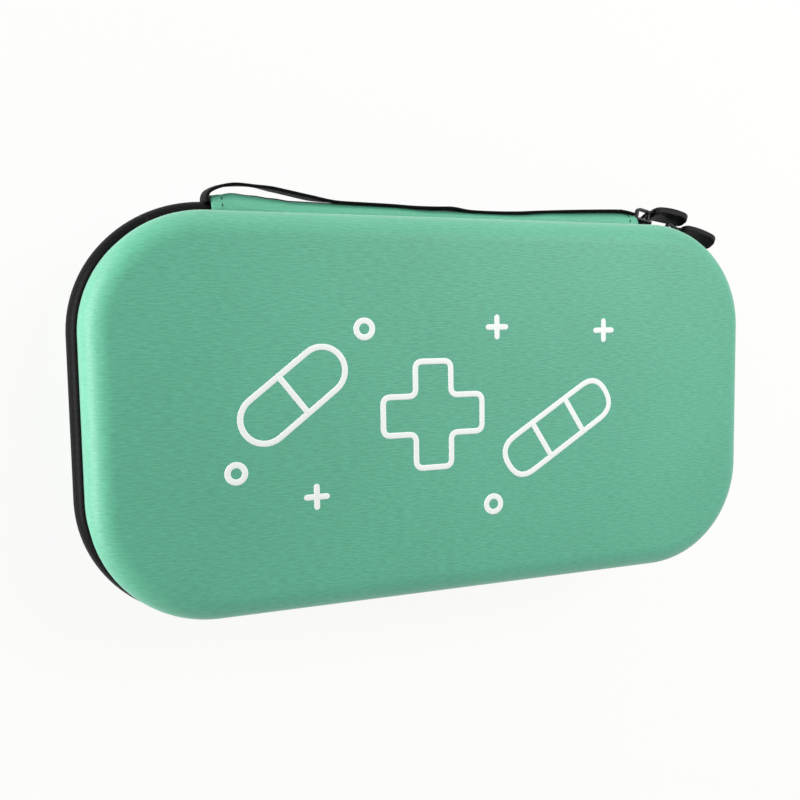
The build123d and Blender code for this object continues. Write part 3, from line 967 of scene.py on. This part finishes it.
def pocket():
    look = pocketLook
    level = case["lidRim"] + look["level"]
    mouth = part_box("pocket_net")[0].y
    hemLow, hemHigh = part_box("pocket_hem")
    inset = look["inset"] + look["tape"]
    halfX, halfY = case["halfX"] - inset, case["halfY"] - inset
    columns, rows = int(2 * halfX / look["pitch"]), int((halfY - mouth) / (look["pitch"] * sqrt(3) / 2))
    pattern = knotPattern(look["pitch"] / sqrt(3), look["cord"])
    blank = bpy.data.objects.new("netHost", bpy.data.meshes.new("netHost"))
    scene.collection.objects.link(blank)
    values = {"Knot": pattern, "Pitch": look["pitch"], "Columns": columns, "Rows": rows, "Half Length": halfX,
              "Half Width": halfY, "Corner": case["corner"] - inset, "Slack": look["slack"],
              "Place": (-look["pitch"] / 4, (mouth + halfY) / 2, level)}
    net = grown("pocketNet", trees["net"], blank, values, "netCord")
    bpy.data.objects.remove(pattern)
    seat(net, "lid", "net", "pocket_net")

    side = flatX + quarter + flatY - (mouth - 0.1 * mm)
    thick = look["tapeThick"] / 2
    ring = (arc((-look["inset"] - thick, level), thick, -90, 90, 4)
            + arc((-look["inset"] - look["tape"] + thick, level), thick, 90, 270, 4))
    tape = bandPiece("pocketEdgeTape", lambda s: ring, (-side, side), "blackTape")
    seat(tape, "lid", "black_tape", "pocket_edge_tape")
    rows = [rimPath((-side, side), -look["inset"] - out, level - thick - 0.03 * mm) for out in (1.2 * mm, 3.8 * mm)]
    stitches("pocketEdgeStitches", "lid", "black_tape", rows, outward=0)

    ribs = 2.1 * mm                 # the elastic's gathers along the hem
    count = int((hemHigh.x - hemLow.x) / (0.5 * mm))
    section = ribbonRing(look["hem"], look["hemThick"] * 0.8)
    middle = (hemLow.y + hemHigh.y) / 2
    spots = [hemLow.x + (hemHigh.x - hemLow.x) * k / count for k in range(count + 1)]
    hemRows = [[(x, middle + a, level + b * (1 + 0.16 * cos(2 * pi * x / ribs))) for x in spots] for a, b in section]
    around = lengths(section + section[:1])
    hem = loft("pocketHem", hemRows, lambda j, i: (spots[i], around[j]), "elasticWeave", tube=True)
    seat(hem, "lid", "elastic", "pocket_hem")
    2 * halfX
    halfY - mouth


pocket()
print("net pocket")


# ---- retaining strap in the base

strapLook = {"width": 25 * mm, "thick": 1.4 * mm, "sag": 4 * mm, "overlap": 34 * mm, "patch": 0.9 * mm, "glue": 0.1 * mm}


def strapHalf(name, node, points):
    look = strapLook
    route = smoothRoute(points, 18)
    cords = 21                      # lengthwise cords of the elastic
    outside = [(look["width"] * (k / cords - 0.5), (0.46 + 0.08 * (k % 2)) * look["thick"]) for k in range(cords + 1)]
    section = outside + [(a, -b) for a, b in outside[::-1]]
    rows = [[] for spot in section]
    for k, (y, z) in enumerate(route):
        ahead, behind = route[min(k + 1, len(route) - 1)], route[max(k - 1, 0)]
        rise = Vector((0, behind[1] - ahead[1], ahead[0] - behind[0])).normalized()
        rise = rise if rise.z > 0 else -rise
        for row, (across, through) in zip(rows, section):
            row.append(Vector((across, y, z)) + rise * through)
    along, around = lengths(route), lengths(section + section[:1])
    piece = loft(name, rows, lambda j, i: (along[i], around[j]), "elasticWeave", tube=True)
    return seat(piece, "base", "elastic", node)


def patchPiece(name, node, finish):
    low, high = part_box(node)
    size, middle = (high - low) / 2, (high + low) / 2
    rows = []
    for height, inset in ((-1, 0.5 * mm), (-0.6, 0.1 * mm), (0.6, 0.0), (1, 0.5 * mm)):
        corner = 1.2 * mm
        row = []
        for turn in range(4):
            cx, cy = ((1, 1), (-1, 1), (-1, -1), (1, -1))[turn]
            spot = (middle.x + cx * (size.x - corner), middle.y + cy * (size.y - corner))
            row += [(a, b, middle.z + height * size.z) for a, b in
                    arc(spot, corner - inset * 0.5, 90 * turn, 90 * turn + 90, 5)]
        rows.append(row)
    piece = loft(name, rows, lambda j, i: (rows[j % 4][i % 24][0], rows[j % 4][i % 24][1]), finish, ring=True)
    return seat(piece, "base", "hook_loop", node)


def strap():
    look = strapLook
    boxes = {half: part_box(f"strap_{half}_half") for half in ("loop", "hook")}
    layer = look["thick"] + 2 * (look["patch"] + look["glue"]) + look["glue"]
    end = boxes["hook"][1].y
    low = boxes["loop"][0].z + look["thick"] / 2
    level = low + look["sag"]
    half = look["overlap"] / 2
    strapHalf("strapLoopHalf", "strap_loop_half", [(-end, level), (-end * 0.62, low), (half, low)])
    strapHalf("strapHookHalf", "strap_hook_half", [(end, level), (end * 0.62, low + layer), (-half, low + layer)])
    patchPiece("loopPatch", "loop_patch", "hookPile")
    patchPiece("hookPatch", "hook_patch", "hookPile")
    inner, top = 2.2 * mm, low + layer + look["thick"] * 0.54
    x, y = look["width"] / 2 - inner, half - inner
    box = [(-x, -y, top), (x, -y, top), (x, y, top), (-x, y, top)]
    stitches("strapStitches", "base", "elastic", [(box, True)], outward=0)


strap()
print("retaining strap")


# ---- printed figures on the lid

printLook = {"stroke": 2.3 * mm, "rise": 0.09 * mm}


def faceHeight(x, y):               # of the lid's crowned face
    waist = case["halfX"] - case["halfY"]
    reach = case["halfY"] - shellLook["round"] - (case["lidDepth"] - shellLook["round"]) * tan(radians(shellLook["draft"]))
    share = 1 - hypot(max(0.0, abs(x) - waist), y) / reach
    return case["lidRim"] + case["lidDepth"] - shellLook["crown"] * (1 - share) ** 2


def stroke(points, closed):
    # one line of the print: a low rounded bead of ink with round ends, along points in millimetres
    half, rise = printLook["stroke"] / 2, printLook["rise"]
    if not closed:                  # a straight line gets points enough for its round ends
        (x, y), (u, v) = points
        shares = [0.5 - 0.5 * cos(pi * k / 16) for k in range(17)]
        points = [(x + (u - x) * t, y + (v - y) * t) for t in shares]
    count = len(points)
    rows = []
    for k in range(count):
        ahead = points[(k + 1) % count] if closed or k + 1 < count else points[k]
        behind = points[k - 1] if closed or k > 0 else points[k]
        tangent = Vector((ahead[0] - behind[0], ahead[1] - behind[1])).normalized()
        left = Vector((-tangent.y, tangent.x))
        centre = Vector(points[k]) * mm
        top = faceHeight(centre.x, centre.y)
        end = min((centre - Vector(points[0]) * mm).length, (centre - Vector(points[-1]) * mm).length) / half
        girth = half if closed or end > 1 else half * sqrt(max(0.02, 1 - (1 - end) ** 2))
        ring = [(-1, -2.0), (-1, 0.35), (-0.7, 0.9), (0, 1.0), (0.7, 0.9), (1, 0.35), (1, -2.0)]
        rows.append([(centre.x + left.x * a * girth, centre.y + left.y * a * girth, top + b * rise) for a, b in ring])
    return rows, closed


def printPiece(name, lines):
    corners, faces = [], []
    for rows, closed in lines:
        first, deep, wide = len(corners), len(rows), len(rows[0])
        corners += [p for row in rows for p in row]
        for j in range(deep if closed else deep - 1):
            for i in range(wide):
                a, b = first + j * wide + i, first + j * wide + (i + 1) % wide
                c, d = first + (j + 1) % deep * wide + (i + 1) % wide, first + (j + 1) % deep * wide + i
                faces.append((a, b, c, d))
        if not closed:
            faces += [tuple(range(first, first + wide)), tuple(range(first + (deep - 1) * wide, first + deep * wide))]
    return meshPiece(name, corners, faces, None, "printInk")


def placed(points, x, y, turn):
    c, s = cos(radians(turn)), sin(radians(turn))
    return [(x + a * c - b * s, y + a * s + b * c) for a, b in points]


def roundedLine(corners, radius, closed=True, steps=8):
    # a line through corners, each rounded by an arc
    count = len(corners)
    made = []
    for k, corner in enumerate(corners):
        if not closed and k in (0, count - 1):
            made.append(corner)
            continue
        p, q, r = Vector(corners[k - 1]), Vector(corner), Vector(corners[(k + 1) % count])
        a, b = (p - q).normalized(), (r - q).normalized()
        half = a.angle(b) / 2
        reach = min(radius / tan(half), (p - q).length * 0.49, (r - q).length * 0.49)
        for n in range(steps + 1):
            t = n / steps
            made.append(tuple((q + a * reach) * (1 - t) ** 2 + q * 2 * t * (1 - t) + (q + b * reach) * t * t))
    return made


def circle(x, y, radius):
    return arc((x, y), radius, 0, 360, 40)[:-1]


def figures():
    arm, wide = 21.0, 7.5           # plain cross outline in the middle
    cross = [(wide, arm), (-wide, arm), (-wide, wide), (-arm, wide), (-arm, -wide), (-wide, -wide), (-wide, -arm),
             (wide, -arm), (wide, -wide), (arm, -wide), (arm, wide), (wide, wide)]
    lines = [(placed(roundedLine(cross, 3.0), -12, -2, 0), True)]
    pill = arc((14, 0), 9, -90, 90, 16) + arc((-14, 0), 9, 90, 270, 16)
    lines.append((placed(pill, -68, 8, 38), True))
    lines.append((placed([(0, -9), (0, 9)], -68, 8, 38), False))
    plaster = [(27, -8.5), (27, 8.5), (-27, 8.5), (-27, -8.5)]
    pad = [(9, -8.5), (9, 8.5)]
    lines.append((placed(roundedLine(plaster, 8.4), 44, -10, 32), True))
    for side in (-1, 1):
        lines.append((placed([(side * x, y) for x, y in pad], 44, -10, 32), False))
    for x, y in ((-60, -31), (16, 32), (66, 30)):
        lines.append((placed([(-5, 0), (5, 0)], x, y, 0), False))
        lines.append((placed([(0, -5), (0, 5)], x, y, 0), False))
    for x, y in ((-40, 32), (-90, -20), (14, -40)):
        lines.append((circle(x, y, 3.2), True))
    piece = printPiece("lidPrint", [stroke(points, closed) for points, closed in lines])
    seat(piece, "lid", "mint_fabric")


figures()
print("printed figures")


# ---- floor, light and camera

def floor():
    finish = Finish("paleFloor", {"Base Color": (0.9, 0.9, 0.89, 1), "Roughness": 0.9, "Specular IOR Level": 0.1})
    paths = [finish.add("ShaderNodeLightPath", out=n) for n in (0, 3, 6)]
    seen = finish.add("ShaderNodeMath", {"operation": "MAXIMUM"}, {0: paths[0], 1: paths[1]})
    seen = finish.add("ShaderNodeMath", {"operation": "MAXIMUM"}, {0: seen, 1: paths[2]})
    pale = finish.add("ShaderNodeEmission", {}, {"Color": (1, 1, 0.99, 1), "Strength": 1.0})
    own = Signal(finish, finish.shader.outputs[0])
    mixed = finish.add("ShaderNodeMixShader", {}, {0: seen * 0.9, 1: own, 2: pale})
    finish.put(finish.tree.nodes["Material Output"].inputs["Surface"], mixed)
    mesh = bpy.data.meshes.new("floor")
    size = 4.0
    mesh.from_pydata([(-size, -size, 0), (size, -size, 0), (size, size, 0), (-size, size, 0)], [], [(0, 1, 2, 3)])
    mesh.materials.append(finish.material)
    sheet = bpy.data.objects.new("floor", mesh)
    sheet.location.z = -0.05 * mm
    scene.collection.objects.link(sheet)


def softbox(name, place, target, width, height, radiance):
    light = bpy.data.lights.new(name, "AREA")
    light.shape, light.size, light.size_y = "RECTANGLE", width, height
    light.energy = radiance * pi * width * height
    lamp = bpy.data.objects.new(name, light)
    lamp.location = place
    lamp.rotation_euler = (Vector(target) - Vector(place)).to_track_quat("-Z", "Y").to_euler()
    scene.collection.objects.link(lamp)


lightLook = {"world": 0.45, "over": 5.8, "left": 32.0, "back": 1.9}


def lighting():
    world = bpy.data.worlds.new("studio")
    scene.world = world
    world.use_nodes = True
    graph = Graph(world.node_tree)
    paths = [graph.add("ShaderNodeLightPath", out=n) for n in (0, 3, 6)]
    seen = graph.add("ShaderNodeMath", {"operation": "MAXIMUM"}, {0: paths[0], 1: paths[1]})
    seen = graph.add("ShaderNodeMath", {"operation": "MAXIMUM"}, {0: seen, 1: paths[2]})
    strength = seen * (1 - lightLook["world"]) + lightLook["world"]
    background = world.node_tree.nodes["Background"]
    background.inputs["Color"].default_value = (1, 1, 1, 1)
    graph.put(background.inputs["Strength"], strength)
    middle = (0, 0, 0.03)
    softbox("overhead", (0.5, 0.35, 0.8), middle, 0.6, 0.5, lightLook["over"])
    softbox("leftSide", (-1.0, 0.1, 0.07), (0, 0, 0.04), 1.1, 0.12, lightLook["left"])
    softbox("backSide", (0.1, 1.1, 0.3), middle, 1.2, 0.4, lightLook["back"])


cameraLook = {                      # found from the outline of the case in the picture
    "place": (-0.1380, 0.0311, 0.3737),
    "look": (0.34078, -0.08148, -0.93661),
    "up": (0.04256, 0.99655, -0.07121),
    "focal": 846.4,                 # in pixels of a picture 800 wide
    "picture": 800,
}


def camera():
    look = cameraLook
    data = bpy.data.cameras.new("camera")
    data.sensor_width = 36.0
    data.lens = look["focal"] / look["picture"] * data.sensor_width
    data.clip_start = 0.01
    back = -Vector(look["look"]).normalized()
    right = Vector(look["up"]).cross(back).normalized()
    up = back.cross(right)
    eye = bpy.data.objects.new("camera", data)
    eye.matrix_world = Matrix.Translation(look["place"]) @ Matrix((right, up, back)).transposed().to_4x4()
    scene.collection.objects.link(eye)
    scene.camera = eye


floor()
lighting()
camera()
scene.view_settings.view_transform = "Standard"
print("floor, light and camera")
